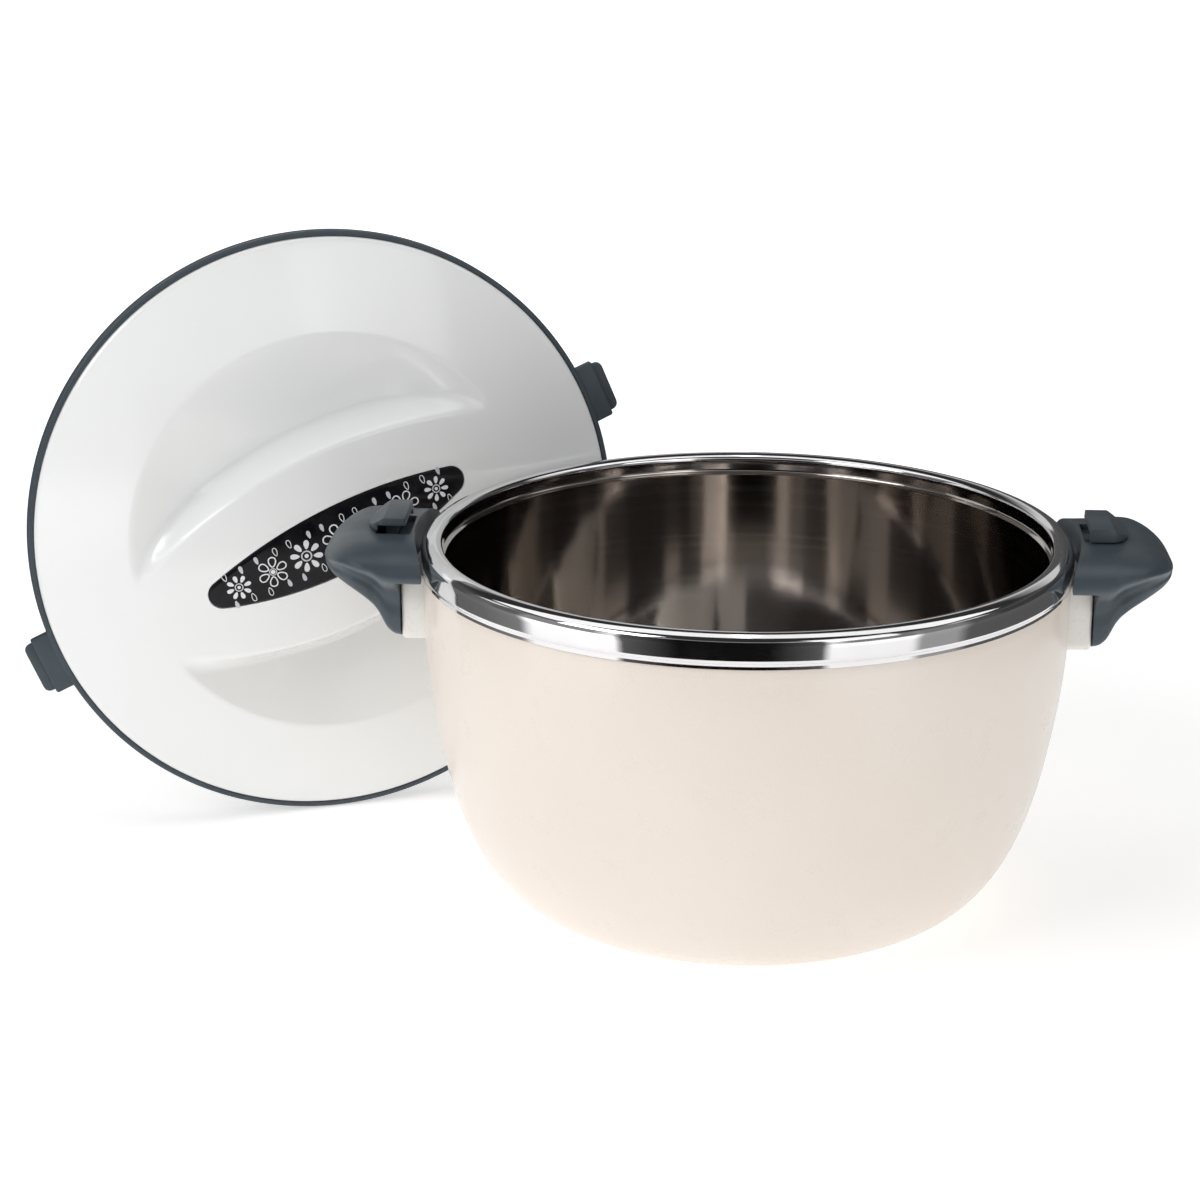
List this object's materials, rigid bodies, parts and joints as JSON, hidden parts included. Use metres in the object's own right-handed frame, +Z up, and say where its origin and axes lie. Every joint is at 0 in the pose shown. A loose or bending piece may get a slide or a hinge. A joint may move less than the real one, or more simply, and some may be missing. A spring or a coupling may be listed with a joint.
{
  "type": "insulated casserole",
  "caption": "Round insulated serving pot with a steel liner and rim, two side handles with sliding lid latches, and a lift-off lid standing on its edge beside it.",
  "frame": {"origin": "centre of the flat underside, on the surface that the pot stands on", "axes": "+Z up, +X along the handles towards the right-hand one, -Y towards the viewer in front of the pot; the lid stands on its edge at -X, +Y"},
  "size_m": [0.4736, 0.2609, 0.2553],
  "materials": {
    "cream_plastic": "pearl cream moulded plastic, satin gloss",
    "bracket_plastic": "off-white moulded plastic, satin gloss",
    "polished_rim": "mirror polished",
    "liner_steel": "polished stainless steel",
    "slate_plastic": "dark slate grey plastic, satin",
    "gloss_white": "glossy white plastic",
    "gloss_black": null,
    "silicone": "grey silicone",
    "foam": "rigid polyurethane foam",
    "spring_steel": "spring steel strip",
    "screw_steel": "zinc plated",
    "grey_nylon": "grey nylon"
  },
  "bodies": {
    "pot": {"outer_shell": "cream_plastic", "body_insulation": "foam", "liner_bowl": "liner_steel", "rim_ring": "polished_rim", "base_cover": "cream_plastic", "base_screw_1": "screw_steel", "base_screw_2": "screw_steel", "base_screw_3": "screw_steel", "handle_bracket_left": "bracket_plastic", "handle_grip_left": "slate_plastic", "detent_spring_left": "spring_steel", "handle_screw_left_front": "screw_steel", "handle_screw_left_back": "screw_steel", "handle_bracket_right": "bracket_plastic", "handle_grip_right": "slate_plastic", "detent_spring_right": "spring_steel", "handle_screw_right_front": "screw_steel", "handle_screw_right_back": "screw_steel"},
    "latch_left": {"latch_slider_left": "slate_plastic", "latch_retainer_left": "grey_nylon", "latch_screw_left": "screw_steel"},
    "latch_right": {"latch_slider_right": "slate_plastic", "latch_retainer_right": "grey_nylon", "latch_screw_right": "screw_steel"},
    "lid": {"lid_cover": "gloss_white", "lid_inlay": "gloss_black", "lid_ring": "slate_plastic", "lid_seal": "silicone", "lid_insulation": "foam", "lid_inner_pan": "liner_steel"}
  },
  "joints": [
    {"name": "lid_lift", "type": "slide", "parent": "pot", "child": "lid", "axis": [0, 0, 1], "range_m": [0, 0.2]},
    {"name": "latch_slide_left", "type": "slide", "parent": "pot", "child": "latch_left", "axis": [-1, 0, 0], "range_m": [0, 0.006]},
    {"name": "latch_slide_right", "type": "slide", "parent": "pot", "child": "latch_right", "axis": [1, 0, 0], "range_m": [0, 0.006]}
  ]
}
